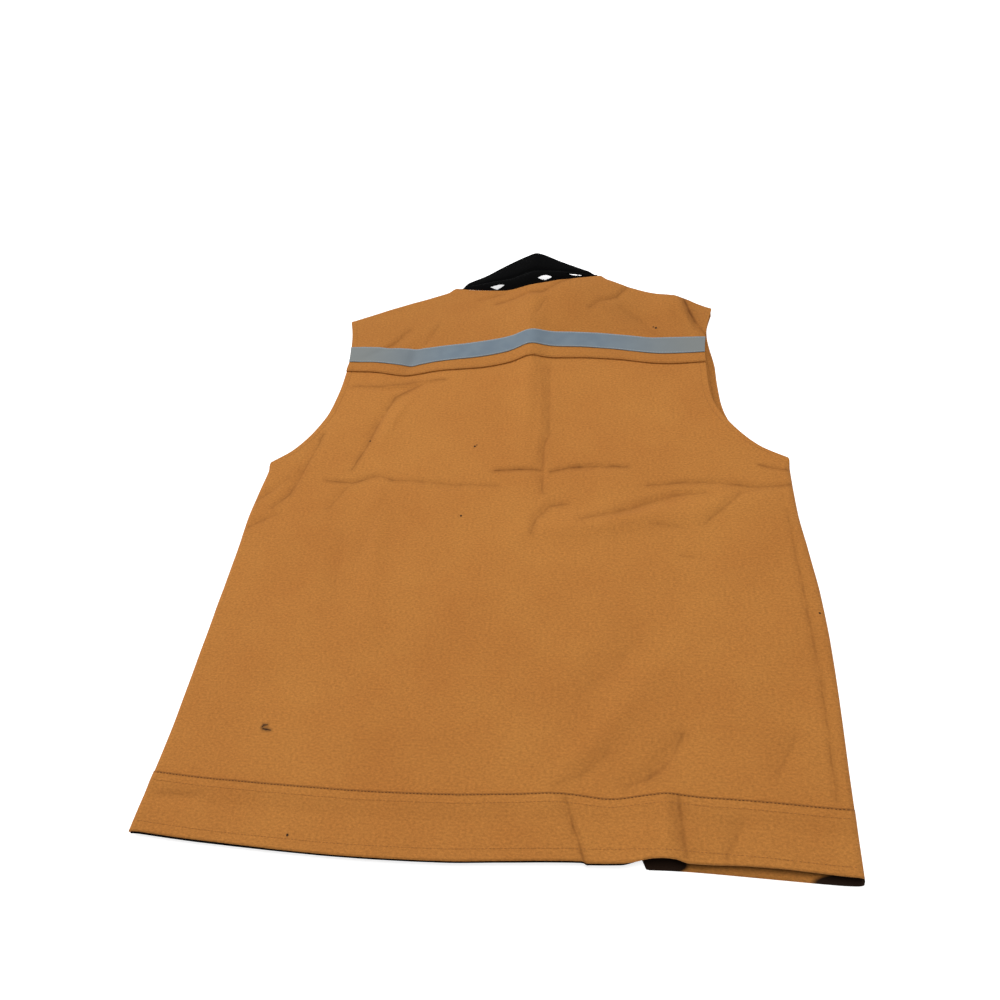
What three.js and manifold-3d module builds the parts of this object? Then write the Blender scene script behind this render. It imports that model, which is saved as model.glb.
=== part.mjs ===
// A sleeveless work vest of cotton duck, lying face down: the fronts are on the floor, and
// the back, yoke and collar are on top. x runs across the vest, y from the hem to the collar
// and z up from the floor, in millimetres.
import * as THREE from "three";
import { mergeVertices } from "three/addons/utils/BufferGeometryUtils.js";
import Module from "manifold-3d";

const wasm = await Module();
wasm.setup();

// Plan sizes of the flat vest
const hemWidth = 592;
const chestWidth = 571;
const shoulderWidth = 462;
const neckWidth = 190;
const armpitHeight = 400;
const yokeSeamHeight = 546;
const shoulderHeight = 642;
const neckPointHeight = 697;
const backNeckDrop = 15;
const frontNeckDrop = 90;
const hemBandHeight = 50;
const tapeWidth = 25;
const tapeAboveSeam = 17;
const zipWidth = 12;

// Cloth, seams and folds
const clothWall = 1.5;
const collarWall = 2;
const tapeWall = 1;
const facingWall = 1;
const zipWall = 1.5;
const gap = 0.3;
const seamLap = 8;
const lapEase = 12;
const foldReach = 6;
const facingHeight = 18;
const facingShow = 1.6;

// How the vest lies
const layHeight = 10;
const frontHemShow = 4;
const frontHemTuck = 6;
const rightArmholeShow = 9;
const leftArmholeTuck = 5;

// Collar
const collarReach = 56;
const standReach = 19;
const standRise = 8;
const leafTuck = 5;
const leafDip = 2.5;
const collarFrontReach = 40;
const collarLeast = 3;
const slitLength = 20;
const slitWidth = 5;
const slitSetback = 4;

const cloth = (color, roughness) =>
  new THREE.MeshStandardMaterial({ color, roughness, metalness: 0 });
const duck = cloth(0xb97a3a, 0.92);
const reflective = cloth(0x7a8c9c, 0.45);
const black = cloth(0x16171a, 0.9);

// The side edges leave the straight line from hem to armpit. up is a share of the armpit
// height; left and right are shares of half the chest width, outwards.
const sideWave = [
  { up: 0, left: 0, right: 0 },
  { up: 0.17, left: -0.015, right: 0.017 },
  { up: 0.43, left: -0.019, right: 0.037 },
  { up: 0.69, left: -0.018, right: 0.032 },
  { up: 0.83, left: -0.015, right: 0.024 },
  { up: 1, left: -0.03, right: 0.03 },
];

// The armhole from the armpit to the shoulder tip. up is a share of that rise, inset a share
// of half the shoulder width, and scoop the share of the way out to the armpit corner.
const armholeCurve = [
  { up: 0, scoop: 1, inset: 0.94 },
  { up: 0.04, scoop: 0.78, inset: 0.94 },
  { up: 0.07, scoop: 0.64, inset: 0.94 },
  { up: 0.13, scoop: 0.45, inset: 0.94 },
  { up: 0.2, scoop: 0.29, inset: 0.94 },
  { up: 0.3, scoop: 0.13, inset: 0.94 },
  { up: 0.4, scoop: 0.05, inset: 0.94 },
  { up: 0.55, scoop: 0, inset: 0.94 },
  { up: 0.7, scoop: 0, inset: 0.94 },
  { up: 0.85, scoop: 0, inset: 0.962 },
  { up: 1, scoop: 0, inset: 1 },
];

// The hem and its seam bow towards the viewer. across is a share of half the width, drop a
// share of the hem band's height.
const hemWave = [
  { across: -1, drop: -0.04 },
  { across: -0.8, drop: -0.16 },
  { across: -0.4, drop: -0.2 },
  { across: -0.07, drop: -0.16 },
  { across: 0.09, drop: -0.1 },
  { across: 0.25, drop: -0.04 },
  { across: 0.45, drop: 0.02 },
  { across: 0.73, drop: 0.04 },
  { across: 1, drop: -0.02 },
];

// The yoke seam and the tape bow too. rise is a share of the tape's width.
const seamWave = [
  { across: -1, rise: 0 },
  { across: -0.8, rise: -0.14 },
  { across: -0.62, rise: -0.36 },
  { across: -0.42, rise: -0.16 },
  { across: -0.2, rise: 0 },
  { across: 0.05, rise: 0.38 },
  { across: 0.22, rise: 0.38 },
  { across: 0.5, rise: 0.22 },
  { across: 0.72, rise: -0.06 },
  { across: 1, rise: -0.08 },
];

// Swells and dents of the back. x and wide are shares of half the chest width, y and long of
// the neck point's height, and lift a share of the lay height; turn is in degrees.
const swells = [
  { name: "dome under the yoke", x: 0.16, y: 0.93, wide: 0.3, long: 0.115, turn: 0, lift: 1.65 },
  { name: "centre crease", x: 0.05, y: 0.79, wide: 0.06, long: 0.16, turn: 3, lift: 0.75 },
  { name: "right neck roll", x: 0.37, y: 0.985, wide: 0.09, long: 0.04, turn: 0, lift: 0.7 },
  { name: "right shoulder roll", x: 0.66, y: 0.935, wide: 0.085, long: 0.045, turn: 0, lift: 0.9 },
  { name: "left yoke dent", x: -0.47, y: 0.8, wide: 0.08, long: 0.06, turn: -25, lift: -0.3 },
  { name: "hem lift", x: 0.52, y: 0, wide: 0.1, long: 0.08, turn: 0, lift: 0.45 },
  { name: "belly of the back", x: 0, y: 0.4, wide: 0.7, long: 0.3, turn: 0, lift: 0.25 },
  { name: "right armpit fold", x: 0.62, y: 0.47, wide: 0.3, long: 0.022, turn: 12, lift: 0.28 },
  { name: "mid fold", x: 0.28, y: 0.45, wide: 0.26, long: 0.02, turn: 12, lift: 0.25 },
  { name: "right hem fold", x: 0.36, y: 0.14, wide: 0.045, long: 0.12, turn: -38, lift: 0.25 },
  { name: "left long fold", x: -0.46, y: 0.42, wide: 0.045, long: 0.16, turn: 5, lift: 0.22 },
];

// The collar's outer edge. across is a share of half the neck width, reach a share of the
// collar's reach past the neckline, and lift a share of the lay height.
const leafEdge = [
  { across: -1, reach: 0.02, lift: 1 },
  { across: -0.8, reach: 0.3, lift: 1.1 },
  { across: -0.6, reach: 0.54, lift: 1.25 },
  { across: -0.4, reach: 0.76, lift: 1.6 },
  { across: -0.2, reach: 0.91, lift: 2.1 },
  { across: 0, reach: 0.99, lift: 2.7 },
  { across: 0.12, reach: 1, lift: 3 },
  { across: 0.25, reach: 0.9, lift: 3 },
  { across: 0.45, reach: 0.66, lift: 2.8 },
  { across: 0.65, reach: 0.44, lift: 2.5 },
  { across: 0.85, reach: 0.2, lift: 2.3 },
  { across: 1, reach: 0.02, lift: 2.2 },
];

// Openings between the collar and the neckline, as shares of half the neck width.
const slitPlaces = [{ across: -0.4 }, { across: 0.265 }, { across: 0.65 }];

const halfChest = chestWidth / 2;
const halfShoulder = shoulderWidth / 2;
const halfNeck = neckWidth / 2;
const halfZip = zipWidth / 2;
const lapLift = clothWall + gap;
const tapeLow = yokeSeamHeight + tapeAboveSeam;
const tapeHigh = tapeLow + tapeWidth;
const shoulderRise = shoulderHeight - armpitHeight;
const shoulderRow = shoulderHeight - foldReach;
const neckShare = halfNeck / (halfShoulder - foldReach);

const mix = (a, b, t) => a + (b - a) * t;
const ease = (t) => THREE.MathUtils.smoothstep(t, 0, 1);

// Reads a column of a table between its rows, on a smooth curve through them.
function readTable(rows, key, column, at) {
  const last = rows.length - 1;
  const found = rows.findIndex((row) => row[key] >= at);
  const hi = THREE.MathUtils.clamp(found < 0 ? last : found, 1, last);
  const lo = hi - 1;
  const slope = (i) => {
    const a = rows[Math.max(i - 1, 0)];
    const b = rows[Math.min(i + 1, last)];
    return (b[column] - a[column]) / (b[key] - a[key]);
  };
  const span = rows[hi][key] - rows[lo][key];
  const t = THREE.MathUtils.clamp((at - rows[lo][key]) / span, 0, 1);
  const t2 = t * t;
  const t3 = t2 * t;
  return (
    rows[lo][column] * (2 * t3 - 3 * t2 + 1) +
    slope(lo) * span * (t3 - 2 * t2 + t) +
    rows[hi][column] * (3 * t2 - 2 * t3) +
    slope(hi) * span * (t3 - t2)
  );
}

// Half width of the vest at height y on one side; side is -1 for left and 1 for right.
function halfWidth(y, side) {
  const column = side < 0 ? "left" : "right";
  const up = Math.min(y / armpitHeight, 1);
  const body =
    mix(hemWidth / 2, halfChest, up) +
    halfChest * readTable(sideWave, "up", column, up);
  if (y <= armpitHeight) return body;
  const rise = Math.min((y - armpitHeight) / shoulderRise, 1);
  const scoop = readTable(armholeCurve, "up", "scoop", rise);
  const inset = readTable(armholeCurve, "up", "inset", rise);
  return mix(halfShoulder * inset, body, scoop);
}

// Height of the back's top edge: the neckline between the neck points, then the shoulders.
function topEdge(x) {
  const out = Math.abs(x);
  if (out < halfNeck)
    return neckPointHeight - backNeckDrop * (1 - (out / halfNeck) ** 2);
  const t = (out - halfNeck) / (halfShoulder - halfNeck);
  return mix(neckPointHeight, shoulderHeight, t);
}

// How far the hem, the yoke seam and what is near them bow in y.
function bow(x, y) {
  const hemFade = 1 - ease(y / (armpitHeight / 2));
  const hemBow = hemBandHeight * readTable(hemWave, "across", "drop", x / halfChest);
  const seamFade = 1 - ease(Math.abs(y - yokeSeamHeight) / (shoulderHeight - yokeSeamHeight));
  const seamBow = tapeWidth * readTable(seamWave, "across", "rise", x / halfShoulder);
  return hemBow * hemFade + seamBow * seamFade;
}

// Height of the back's outer face over the floor.
function backHeight(x, y) {
  let lift = 1;
  for (const s of swells) {
    const dx = x - s.x * halfChest;
    const dy = y - s.y * neckPointHeight;
    const turn = THREE.MathUtils.degToRad(s.turn);
    const across = dx * Math.cos(turn) + dy * Math.sin(turn);
    const along = dy * Math.cos(turn) - dx * Math.sin(turn);
    const wide = across / (s.wide * halfChest);
    const long = along / (s.long * neckPointHeight);
    lift += s.lift * Math.exp(-(wide * wide + long * long));
  }
  return layHeight * lift;
}

function backNormal(x, y) {
  const step = 1;
  const slopeX = (backHeight(x + step, y) - backHeight(x - step, y)) / (2 * step);
  const slopeY = (backHeight(x, y + step) - backHeight(x, y - step)) / (2 * step);
  return new THREE.Vector3(-slopeX, -slopeY, 1).normalize();
}

// Columns run from the left fold to the right fold. share is the place between the centre
// (0) and the start of the fold (1 or -1), and roll the angle round the fold.
const rollAngles = [30, 60, 90];
const neckSteps = 6;
const shoulderSteps = 9;
const halfColumns = [];
for (let i = 0; i < neckSteps; i++)
  halfColumns.push({ share: (neckShare * i) / neckSteps, roll: 0 });
for (let i = 0; i <= shoulderSteps; i++)
  halfColumns.push({ share: mix(neckShare, 1, i / shoulderSteps), roll: 0 });
for (const roll of rollAngles) halfColumns.push({ share: 1, roll });
const mirrored = ({ share, roll }) => ({ share: -share, roll });
const backColumns = [...halfColumns.slice(1).map(mirrored).reverse(), ...halfColumns];

const evenly = (from, to, steps) =>
  Array.from({ length: steps }, (_, i) => mix(from, to, (i + 1) / steps));

// Heights at which both the back and the fronts have vertices along the side folds.
const armpitEase = 12;
const bodyRows = [
  hemBandHeight,
  hemBandHeight + lapEase,
  ...evenly(hemBandHeight + lapEase, armpitHeight - armpitEase, 10),
  armpitHeight - armpitEase / 2,
  armpitHeight,
];
const armholeRows = [0.02, 0.045, 0.08, 0.13, 0.2, 0.3, 0.4, 0.5].map(
  (rise) => armpitHeight + rise * shoulderRise,
);

const tapeRows = [tapeLow, (tapeLow + tapeHigh) / 2, tapeHigh];

// 1 where the back and the front are joined along the side, 0 where the armhole is open.
const sideClosed = (y) => 1 - ease((y - armpitHeight + armpitEase) / armpitEase);
// 1 along the shoulder, 0 along the neckline.
const topClosed = (x) => ease((Math.abs(x) - halfNeck) / (2 * foldReach));

function columnX(column, y) {
  const side = Math.sign(column.share);
  if (!side) return 0;
  const start = halfWidth(y, side) - foldReach;
  const round = foldReach * Math.sin(THREE.MathUtils.degToRad(column.roll));
  return column.share * start + side * round;
}

// A point of the back's outer face and its outward direction. raise lifts it over a lap.
function backPoint(column, y, raise = 0) {
  const x = columnX(column, y);
  const height = backHeight(x, y);
  const roll = THREE.MathUtils.degToRad(column.roll) * sideClosed(y);
  const z = mix(height, height / 2 + gap / 2, 1 - Math.cos(roll));
  const out = new THREE.Vector3(Math.sign(column.share), 0, 0);
  const normal = backNormal(x, y).multiplyScalar(Math.cos(roll));
  normal.addScaledVector(out, Math.sin(roll)).normalize();
  const point = new THREE.Vector3(x, y + bow(x, y), z).addScaledVector(normal, raise);
  return { point, normal };
}

// A point of the yoke above the tape. row.up is a share of the way to the top edge.
function yokePoint(column, row) {
  const sideY = mix(tapeHigh, shoulderRow, row.up);
  const x = columnX(column, sideY);
  const roll = THREE.MathUtils.degToRad(row.roll);
  const y = mix(tapeHigh, topEdge(x) - foldReach, row.up) + foldReach * Math.sin(roll);
  const height = backHeight(x, y);
  const closed = roll * topClosed(x);
  const z = mix(height, height / 2 + gap / 2, 1 - Math.cos(closed));
  const normal = backNormal(x, y).multiplyScalar(Math.cos(closed));
  normal.addScaledVector(new THREE.Vector3(0, 1, 0), Math.sin(closed)).normalize();
  return { point: new THREE.Vector3(x, y + bow(x, y), z), normal };
}

// Bends a flat slab over a grid of outer points and normals, with the wall behind them.
function sheetGeometry(grid, wall) {
  const rowSteps = grid.length - 1;
  const columnSteps = grid[0].length - 1;
  const slab = new THREE.BoxGeometry(columnSteps, rowSteps, 1, columnSteps, rowSteps, 1);
  slab.translate(columnSteps / 2, rowSteps / 2, 0);
  slab.deleteAttribute("normal");
  slab.deleteAttribute("uv");
  const geometry = mergeVertices(slab, 1e-3);
  const places = geometry.attributes.position;
  for (let i = 0; i < places.count; i++) {
    const { point, normal } = grid[Math.round(places.getY(i))][Math.round(places.getX(i))];
    const depth = places.getZ(i) > 0 ? 0 : wall;
    places.setXYZ(i, ...point.clone().addScaledVector(normal, -depth));
  }
  return geometry;
}

const vest = new THREE.Group();

function addPiece(name, geometry, material) {
  const mesh = new THREE.Mesh(geometry, material);
  mesh.name = name;
  vest.add(mesh);
}

function addBackPanel() {
  const rows = [
    hemBandHeight - seamLap,
    ...bodyRows,
    ...armholeRows,
    yokeSeamHeight,
    yokeSeamHeight + seamLap,
  ];
  const grid = rows.map((y) => backColumns.map((column) => backPoint(column, y)));
  addPiece("back_panel", sheetGeometry(grid, clothWall), duck);
}

function addHemBand() {
  const easeEnd = hemBandHeight - seamLap - lapEase;
  const rows = [
    { y: 0, raise: 0 },
    { y: facingHeight, raise: 0 },
    { y: easeEnd, raise: 0 },
    { y: hemBandHeight - seamLap, raise: lapLift },
    { y: hemBandHeight, raise: lapLift },
  ];
  const grid = rows.map(({ y, raise }) =>
    backColumns.map((column) => backPoint(column, y, raise)),
  );
  addPiece("back_hem_band", sheetGeometry(grid, clothWall), duck);
}

// The dark facing inside the back hem, whose edge shows below it.
function addHemFacing() {
  const columns = backColumns.filter(({ roll }) => roll === 0).slice(1, -1);
  const depth = clothWall + gap;
  const rows = [-facingShow, 0, facingHeight];
  const grid = rows.map((y) =>
    columns.map((column) => {
      const at = backPoint(column, y);
      at.point.addScaledVector(at.normal, -depth);
      return at;
    }),
  );
  addPiece("hem_facing", sheetGeometry(grid, facingWall), black);
}

function addYoke() {
  const lapped = [
    { y: yokeSeamHeight, raise: lapLift },
    { y: yokeSeamHeight + seamLap, raise: lapLift },
    ...tapeRows.map((y) => ({ y, raise: 0 })),
  ];
  const grid = lapped.map(({ y, raise }) =>
    backColumns.map((column) => backPoint(column, y, raise)),
  );
  const upperRows = [
    ...evenly(0, 1, 4).map((up) => ({ up, roll: 0 })),
    ...rollAngles.map((roll) => ({ up: 1, roll })),
  ];
  for (const row of upperRows) grid.push(backColumns.map((column) => yokePoint(column, row)));
  addPiece("back_yoke", sheetGeometry(grid, clothWall), duck);
}

// The reflective tape lies on the yoke's own facets, so the gap under it is even.
function addTape() {
  const grid = tapeRows.map((y) =>
    backColumns.map((column) => {
      const at = backPoint(column, y);
      at.point.z += gap + tapeWall;
      at.normal.set(0, 0, 1);
      return at;
    }),
  );
  addPiece("reflective_tape", sheetGeometry(grid, tapeWall), reflective);
}

// How far a front's armhole stands out past the back's, faded in above the armpit.
function armholeExtra(y, side) {
  const show = side > 0 ? rightArmholeShow : -leftArmholeTuck;
  const rise = (y - armpitHeight) / shoulderRise;
  return show * ease(rise / 0.25) * (1 - ease((rise - 0.6) / 0.3));
}

// Height of a front's outer face, which is flat on the floor and rolls up at the folds.
function frontRoll(x, y, roll) {
  const seam = backHeight(x, y) / 2 - gap / 2;
  return seam * (1 - Math.cos(roll));
}

function frontPoint(x, y, roll, out) {
  const normal = new THREE.Vector3(0, 0, -Math.cos(roll));
  normal.addScaledVector(out, Math.sin(roll)).normalize();
  return { point: new THREE.Vector3(x, y, frontRoll(x, y, roll)), normal };
}

function frontX(column, y, side) {
  const inner = halfZip + gap;
  const start = halfWidth(y, side) - foldReach + armholeExtra(y, side);
  const round = foldReach * Math.sin(THREE.MathUtils.degToRad(column.roll));
  return side * (mix(inner, start, column.share) + round);
}

// The angle along the front neckline, from 0 at the zip to a quarter turn at the neck point.
const neckTurn = (share) => ((share / neckShare) * Math.PI) / 2;

// The front's top edge: the neckline from the zip to the neck point, then the shoulder.
function frontTop(share, side) {
  if (share < neckShare) {
    const x = mix(halfZip + gap, halfNeck, Math.sin(neckTurn(share)));
    const y = neckPointHeight - foldReach - frontNeckDrop * Math.cos(neckTurn(share));
    return { x: side * x, y };
  }
  const x = share * (halfWidth(shoulderRow, side) - foldReach);
  return { x: side * x, y: topEdge(x) - foldReach };
}

function frontUpperPoint(column, row, side) {
  const base = { x: frontX({ share: column.share, roll: 0 }, armpitHeight, side), y: armpitHeight };
  const top = frontTop(column.share, side);
  const sideY = mix(armpitHeight, shoulderRow, row.up);
  const edge = frontX({ share: 1, roll: 0 }, sideY, side);
  const chord = mix(
    frontX({ share: 1, roll: 0 }, armpitHeight, side),
    frontTop(1, side).x,
    row.up,
  );
  const sideRound = side * foldReach * Math.sin(THREE.MathUtils.degToRad(column.roll));
  const x = mix(base.x, top.x, row.up) + column.share * (edge - chord) + sideRound;
  const roll = THREE.MathUtils.degToRad(row.roll);
  const onShoulder = column.share >= neckShare;
  const outermost = onShoulder ? topEdge(x) - foldReach : top.y;
  const y = mix(base.y, row.up === 1 ? outermost : top.y, row.up) + foldReach * Math.sin(roll);
  const closed = onShoulder ? roll * topClosed(x) : 0;
  return frontPoint(x, y, closed, new THREE.Vector3(0, 1, 0));
}

const frontOrder = (side) => (side > 0 ? [...halfColumns].reverse() : halfColumns);

function addFrontPanel(side) {
  const columns = frontOrder(side);
  const grid = bodyRows.map((y) =>
    columns.map((column) => {
      const roll = THREE.MathUtils.degToRad(column.roll) * sideClosed(y);
      const x = frontX(column, y, side);
      const at = frontPoint(x, y, roll, new THREE.Vector3(side, 0, 0));
      at.point.y += bow(x, y);
      return at;
    }),
  );
  const upperRows = [
    ...[0.03, 0.08, 0.16, 0.28, 0.42, 0.58, 0.75, 0.9, 1].map((up) => ({ up, roll: 0 })),
    ...rollAngles.map((roll) => ({ up: 1, roll })),
  ];
  for (const row of upperRows)
    grid.push(columns.map((column) => frontUpperPoint(column, row, side)));
  const name = side > 0 ? "front_panel_right" : "front_panel_left";
  addPiece(name, sheetGeometry(grid, clothWall), duck);
}

// The front hem stands out past the back hem on the right, and is tucked under it elsewhere.
function frontHemEdge(x) {
  const out = ease((x / halfChest - 0.44) / 0.05);
  return mix(frontHemTuck, -frontHemShow, out);
}

function addFrontHemBand(side) {
  const top = hemBandHeight - gap;
  const grid = [0, 0.5, 1].map((up) =>
    frontOrder(side).map((column) => {
      const y = top * up;
      const roll = THREE.MathUtils.degToRad(column.roll);
      const x = frontX(column, y, side);
      const at = frontPoint(x, y, roll, new THREE.Vector3(side, 0, 0));
      at.point.y += bow(x, y) + (1 - up) * frontHemEdge(x) * Math.cos(roll);
      return at;
    }),
  );
  const name = side > 0 ? "front_hem_band_right" : "front_hem_band_left";
  addPiece(name, sheetGeometry(grid, clothWall), duck);
}

function addZip() {
  const foot = frontHemTuck + bow(0, 0);
  const length = neckPointHeight - frontNeckDrop - foot;
  const geometry = new THREE.BoxGeometry(zipWidth, length, zipWall);
  geometry.translate(0, foot + length / 2, zipWall / 2);
  addPiece("front_zip", geometry, black);
}

const neckColumns = backColumns.filter(
  ({ share, roll }) => roll === 0 && Math.abs(share) <= neckShare + 1e-9,
);

// Where the collar starts: just past the yoke's neckline edge, at its outer face.
function neckEdge(column) {
  const x = columnX(column, shoulderRow);
  const y = topEdge(x);
  return new THREE.Vector3(x, y, backHeight(x, y));
}

function leafAt(x, column) {
  return readTable(leafEdge, "across", column, x / halfNeck);
}

// Share of the collar's full section that is left at x, down to a least size at its ends.
const collarShare = (x) => Math.max(leafAt(x, "reach"), collarLeast / standReach);

// Gives each point of a collar grid a normal square to its own column's profile.
function withProfileNormals(grid) {
  return grid.map((row, i) =>
    row.map((point, j) => {
      const before = grid[Math.max(i - 1, 0)][j];
      const after = grid[Math.min(i + 1, grid.length - 1)][j];
      const along = after.clone().sub(before);
      return { point, normal: new THREE.Vector3(0, -along.z, along.y).normalize() };
    }),
  );
}

const standProfile = [
  { out: 0, rise: 0 },
  { out: 0.28, rise: 0.66 },
  { out: 0.62, rise: 1 },
  { out: 1, rise: 0.72 },
];

const standPoint = (column, { out, rise }) => {
  const start = neckEdge(column);
  const size = collarShare(start.x);
  start.y += gap + out * standReach * size;
  start.z += rise * standRise * size;
  return start;
};

function solidOf(geometry) {
  const bare = geometry.clone();
  bare.deleteAttribute("normal");
  bare.deleteAttribute("uv");
  const merged = mergeVertices(bare, 1e-4);
  return new wasm.Manifold(
    new wasm.Mesh({
      numProp: 3,
      vertProperties: merged.attributes.position.array,
      triVerts: new Uint32Array(merged.index.array),
    }),
  );
}

function geometryOf(solid) {
  const mesh = solid.getMesh();
  const geometry = new THREE.BufferGeometry();
  geometry.setAttribute("position", new THREE.BufferAttribute(mesh.vertProperties, 3));
  geometry.setIndex(new THREE.BufferAttribute(mesh.triVerts, 1));
  return geometry;
}

// A slit cutter: an upright prism with an oval outline, just past the neckline.
function slitCutter(across) {
  const x = across * halfNeck;
  const outline = new THREE.Shape();
  outline.absellipse(0, 0, slitLength / 2, slitWidth / 2, 0, 2 * Math.PI);
  const geometry = new THREE.ExtrudeGeometry(outline, {
    depth: 10 * layHeight,
    bevelEnabled: false,
    curveSegments: 8,
  });
  geometry.translate(x, topEdge(x) + slitSetback, 0);
  return solidOf(geometry);
}

function addCollarStand() {
  const grid = standProfile.map((step) => neckColumns.map((column) => standPoint(column, step)));
  let stand = solidOf(sheetGeometry(withProfileNormals(grid), collarWall));
  for (const { across } of slitPlaces) stand = stand.subtract(slitCutter(across));
  addPiece("collar_stand", geometryOf(stand), black);
}

function addCollarLeaf() {
  const steps = [0, 0.3, 0.65, 1];
  const grid = steps.map((step) =>
    neckColumns.map((column) => {
      const root = standPoint(column, standProfile.at(-1));
      const size = collarShare(root.x);
      const edge = neckEdge(column);
      const reach = Math.max(collarReach * leafAt(edge.x, "reach"), standReach * size + collarLeast);
      edge.y += gap + reach;
      edge.z = layHeight * leafAt(edge.x, "lift");
      root.y -= leafTuck * size;
      root.z -= collarWall + gap + leafDip * size;
      const point = root.clone().lerp(edge, step);
      return point;
    }),
  );
  addPiece("collar_leaf", sheetGeometry(withProfileNormals(grid), collarWall), black);
}

// The collar's ends lie on the floor inside the front neckline.
function addCollarFront(side) {
  const columns = frontOrder(side).filter(
    ({ share, roll }) => roll === 0 && share <= neckShare + 1e-9,
  );
  const grid = [0, 0.5, 1].map((out) =>
    columns.map((column) => {
      const start = frontTop(column.share, side);
      const turn = neckTurn(column.share);
      const reach = gap + out * mix(collarLeast, collarFrontReach, Math.cos(turn));
      const x = start.x - side * reach * Math.sin(turn);
      const y = start.y + foldReach + reach * Math.cos(turn);
      return { point: new THREE.Vector3(x, y, 0), normal: new THREE.Vector3(0, 0, -1) };
    }),
  );
  const name = side > 0 ? "collar_front_right" : "collar_front_left";
  addPiece(name, sheetGeometry(grid, collarWall), black);
}

addBackPanel();
addHemBand();
addHemFacing();
addYoke();
addTape();
for (const side of [-1, 1]) {
  addFrontPanel(side);
  addFrontHemBand(side);
  addCollarFront(side);
}
addZip();
addCollarStand();
addCollarLeaf();

// The origin is under the middle of the whole vest, on the floor.
const bounds = new THREE.Box3().setFromObject(vest);
const centre = bounds.getCenter(new THREE.Vector3());
vest.position.set(-centre.x, -centre.y, -bounds.min.z);

export default vest;
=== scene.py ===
"""The looks of a sleeveless work vest of cotton duck that lies face down on a pale floor.

Places on the vest are given on its flat plan: x across from the zip and y up from the hem,
in metres. The solids of the frame give the plan's place in the row's own frame.
"""
import math

import bmesh
import bpy
import numpy as np
from mathutils import Matrix, Vector


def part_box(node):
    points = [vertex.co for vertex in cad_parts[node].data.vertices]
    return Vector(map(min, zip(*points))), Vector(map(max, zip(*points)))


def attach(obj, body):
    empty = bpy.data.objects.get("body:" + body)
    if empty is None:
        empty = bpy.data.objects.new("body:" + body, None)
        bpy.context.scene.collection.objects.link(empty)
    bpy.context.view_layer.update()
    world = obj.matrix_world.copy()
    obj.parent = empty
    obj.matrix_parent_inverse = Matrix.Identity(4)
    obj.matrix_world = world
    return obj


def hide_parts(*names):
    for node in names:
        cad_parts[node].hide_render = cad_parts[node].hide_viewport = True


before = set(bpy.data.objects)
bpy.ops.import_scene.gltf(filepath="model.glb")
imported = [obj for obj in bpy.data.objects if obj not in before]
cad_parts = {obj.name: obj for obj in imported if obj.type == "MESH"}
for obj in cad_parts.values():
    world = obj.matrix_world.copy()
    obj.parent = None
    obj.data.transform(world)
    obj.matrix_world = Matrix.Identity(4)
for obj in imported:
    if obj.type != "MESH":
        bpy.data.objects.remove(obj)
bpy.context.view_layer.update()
MM = 0.001


# Sizes of the flat vest
hem_width = 592 * MM
chest_width = 571 * MM
shoulder_width = 462 * MM
neck_width = 190 * MM
armpit_height = 400 * MM
yoke_seam_height = 546 * MM
shoulder_height = 642 * MM
neck_point_height = 697 * MM
back_neck_drop = 15 * MM
front_neck_drop = 90 * MM
hem_band_height = 50 * MM
tape_width = 25 * MM
tape_above_seam = 17 * MM
zip_width = 12 * MM

cloth_wall = 1.5 * MM
collar_wall = 2 * MM
tape_wall = 1 * MM
facing_wall = 1 * MM
walls = {
    "duck_canvas": cloth_wall,
    "collar_cloth": collar_wall,
    "reflective_tape": tape_wall,
    "black_trim": facing_wall,
}
gap = 0.3 * MM
seam_lap = 8 * MM
lap_ease = 12 * MM
fold_reach = 6 * MM
facing_height = 18 * MM
facing_show = 1.4 * MM

lay_height = 10 * MM
front_hem_show = 4 * MM
front_hem_tuck = 6 * MM
right_armhole_show = 11 * MM
left_armhole_tuck = 5 * MM
right_shoulder_more = 2.5 * MM
armpit_ease = 12 * MM

seam_sag = 3 * MM
seam_sag_x = 12 * MM
seam_sag_wide = 70 * MM
notch_drop = 1.8 * MM
facing_more_hidden = 1.6 * MM
facing_less_left = 0.4 * MM
facing_share = 0.986

collar_reach = 56 * MM
stand_reach = 19 * MM
stand_rise = 8 * MM
leaf_tuck = 2 * MM
leaf_dip = 4 * MM
collar_front_reach = 40 * MM
collar_least = 3 * MM
collar_span = 0.965
collar_end_share = 0.14
end_drop = 3.5 * MM
end_leaf_reach = 1.2 * MM
leaf_lies_on_edge = 40 * MM
leaf_crown = 1.6 * MM
leaf_wave = 0.7 * MM

half_chest = chest_width / 2
half_shoulder = shoulder_width / 2
half_neck = neck_width / 2
lap_lift = cloth_wall + gap
tape_low = yoke_seam_height + tape_above_seam
tape_high = tape_low + tape_width
shoulder_row = shoulder_height - fold_reach
shoulder_rise = shoulder_height - armpit_height
inner_edge = zip_width / 2 + gap
neck_share = half_neck / (half_shoulder - fold_reach)

zip_low, zip_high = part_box("front_zip")
middle_x = (zip_low[0] + zip_high[0]) / 2
hem_y = zip_high[1] - (neck_point_height - front_neck_drop)


def table(columns, *rows):
    """A short table: a list of numbers for each named column."""
    return dict(zip(columns.split(), (np.array(c, float) for c in zip(*rows))))


# The side edges: shares of the armpit height and of half the chest.
side_wave = table(
    "up left right",
    (0, 0, 0.011),
    (0.17, -0.015, 0.023),
    (0.43, -0.019, 0.044),
    (0.6, -0.018, 0.046),
    (0.72, -0.018, 0.036),
    (0.83, -0.015, 0.026),
    (1, -0.03, 0.03),
)

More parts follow.
